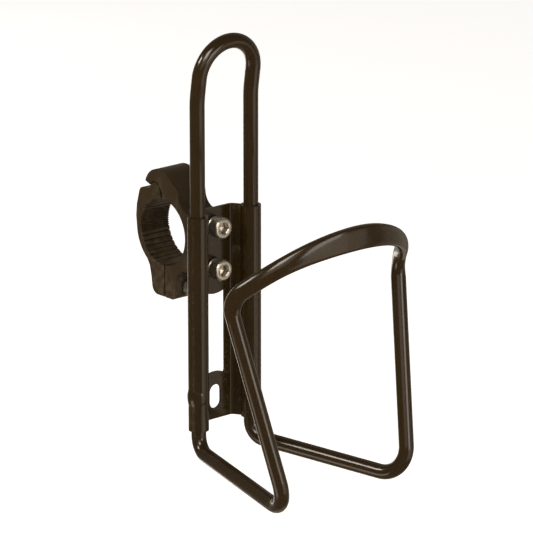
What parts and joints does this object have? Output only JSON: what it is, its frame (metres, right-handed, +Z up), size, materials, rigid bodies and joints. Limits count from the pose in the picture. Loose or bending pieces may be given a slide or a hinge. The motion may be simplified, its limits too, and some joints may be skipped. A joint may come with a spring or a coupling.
{
  "type": "water bottle cage",
  "caption": "Bent-rod bottle cage on a rolled sheet plate, bolted to a hinged two-piece plastic clamp that closes round a handlebar or post.",
  "frame": {"origin": "centre of the clamp bore, on the axis of the bar it holds and midway along it", "axes": "+X along the bar, from the left leg to the right leg as seen from the bottle; -Y from the bar towards the bottle; +Z up, towards the arch"},
  "size_m": [0.0898, 0.1243, 0.1722],
  "materials": {
    "rod_paint": "gloss black paint on alloy rod",
    "plate_paint": "gloss black paint on alloy sheet",
    "clamp_plastic": "semi-gloss moulded black plastic",
    "bolt_steel": "bright zinc plated",
    "insert_brass": "plain"
  },
  "bodies": {
    "cage": {"cage_rod": "rod_paint", "back_plate": "plate_paint", "clamp_base": "clamp_plastic", "mounting_bolts": "bolt_steel", "lock_washers": "bolt_steel", "threaded_inserts": "insert_brass"},
    "strap": {"clamp_strap": "clamp_plastic", "clamp_nut": "bolt_steel"},
    "screw": {"clamp_screw": "bolt_steel"}
  },
  "joints": [
    {"name": "strap_swing", "type": "hinge", "parent": "cage", "child": "strap", "pos_m": [0, 0.0049, 0.0167], "axis": [1, 0, 0], "range_deg": [0, 22]},
    {"name": "clamp_screw_undo", "type": "slide", "parent": "cage", "child": "screw", "axis": [0, -1, 0], "range_m": [0, 0.0087]}
  ],
  "couplings": [
    {"joint": "clamp_screw_undo", "follows": "strap_swing", "m_per_rad": 0.0226}
  ]
}
